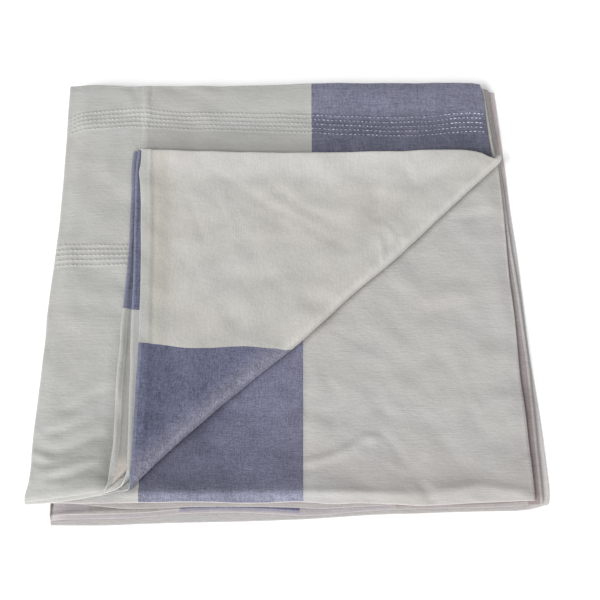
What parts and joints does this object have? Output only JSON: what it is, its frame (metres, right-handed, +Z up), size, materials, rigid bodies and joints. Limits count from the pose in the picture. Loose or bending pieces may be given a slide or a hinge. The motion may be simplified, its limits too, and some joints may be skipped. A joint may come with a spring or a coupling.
{
  "type": "folded duvet cover",
  "caption": "Patchwork cotton duvet cover folded into a flat square pack, with the right front corner of its upper layers turned back over the top.",
  "frame": {"origin": "middle of the pack's outline at its underside, on the surface it lies on", "axes": "+Z up through the folded layers, -Y to the front where the turned corner starts, +X to the right"},
  "size_m": [0.5232, 0.5276, 0.0281],
  "materials": {
    "cotton": "matte washed cotton, pale grey cream with blue patches"
  },
  "bodies": {
    "root": {"duvet_cover": "cotton"}
  },
  "joints": []
}
